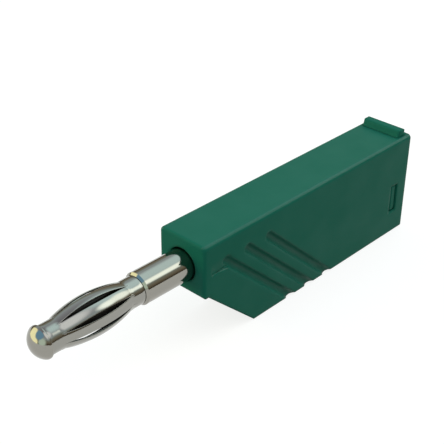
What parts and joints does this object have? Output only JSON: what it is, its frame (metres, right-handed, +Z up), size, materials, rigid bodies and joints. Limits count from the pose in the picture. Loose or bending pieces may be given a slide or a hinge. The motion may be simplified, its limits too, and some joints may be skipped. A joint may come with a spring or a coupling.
{
  "type": "banana plug",
  "caption": "Slim stackable banana plug with a sprung pin, a socket in line with it at the rear, finger grooves and a screw terminal inside.",
  "frame": {"origin": "on the pin's axis in the housing's front face, where the pin leaves the housing", "axes": "+X along the pin's axis to the rear, +Y to the left side, +Z up; the pin points to -X"},
  "size_m": [0.0623, 0.0072, 0.0154],
  "materials": {
    "green_plastic": "satin moulded",
    "nickel_plated_brass": "bright nickel plate over brass",
    "nickel_plated_spring": "bright nickel plate over spring bronze",
    "plated_steel": "zinc plated"
  },
  "bodies": {
    "plug": {"housing": "green_plastic", "rear_cap": "green_plastic", "contact_pin": "nickel_plated_brass", "terminal_block": "nickel_plated_brass"},
    "cage": {"spring_cage": "nickel_plated_spring"},
    "pad": {"pressure_pad": "plated_steel"},
    "screw": {"clamp_screw": "plated_steel"}
  },
  "joints": [
    {"name": "cage_spin", "type": "hinge", "parent": "plug", "child": "cage", "pos_m": [-0.01367, 0, 0], "axis": [1, 0, 0], "continuous": true},
    {"name": "pad_rise", "type": "slide", "parent": "plug", "child": "pad", "axis": [0, 0, 1], "range_m": [0, 0.0029]},
    {"name": "screw_turn", "type": "hinge", "parent": "pad", "child": "screw", "pos_m": [0.0312, 0, -0.009], "axis": [0, 0, 1], "range_deg": [0, 2088]}
  ],
  "couplings": [
    {"joint": "screw_turn", "follows": "pad_rise", "rad_per_m": 12566}
  ]
}
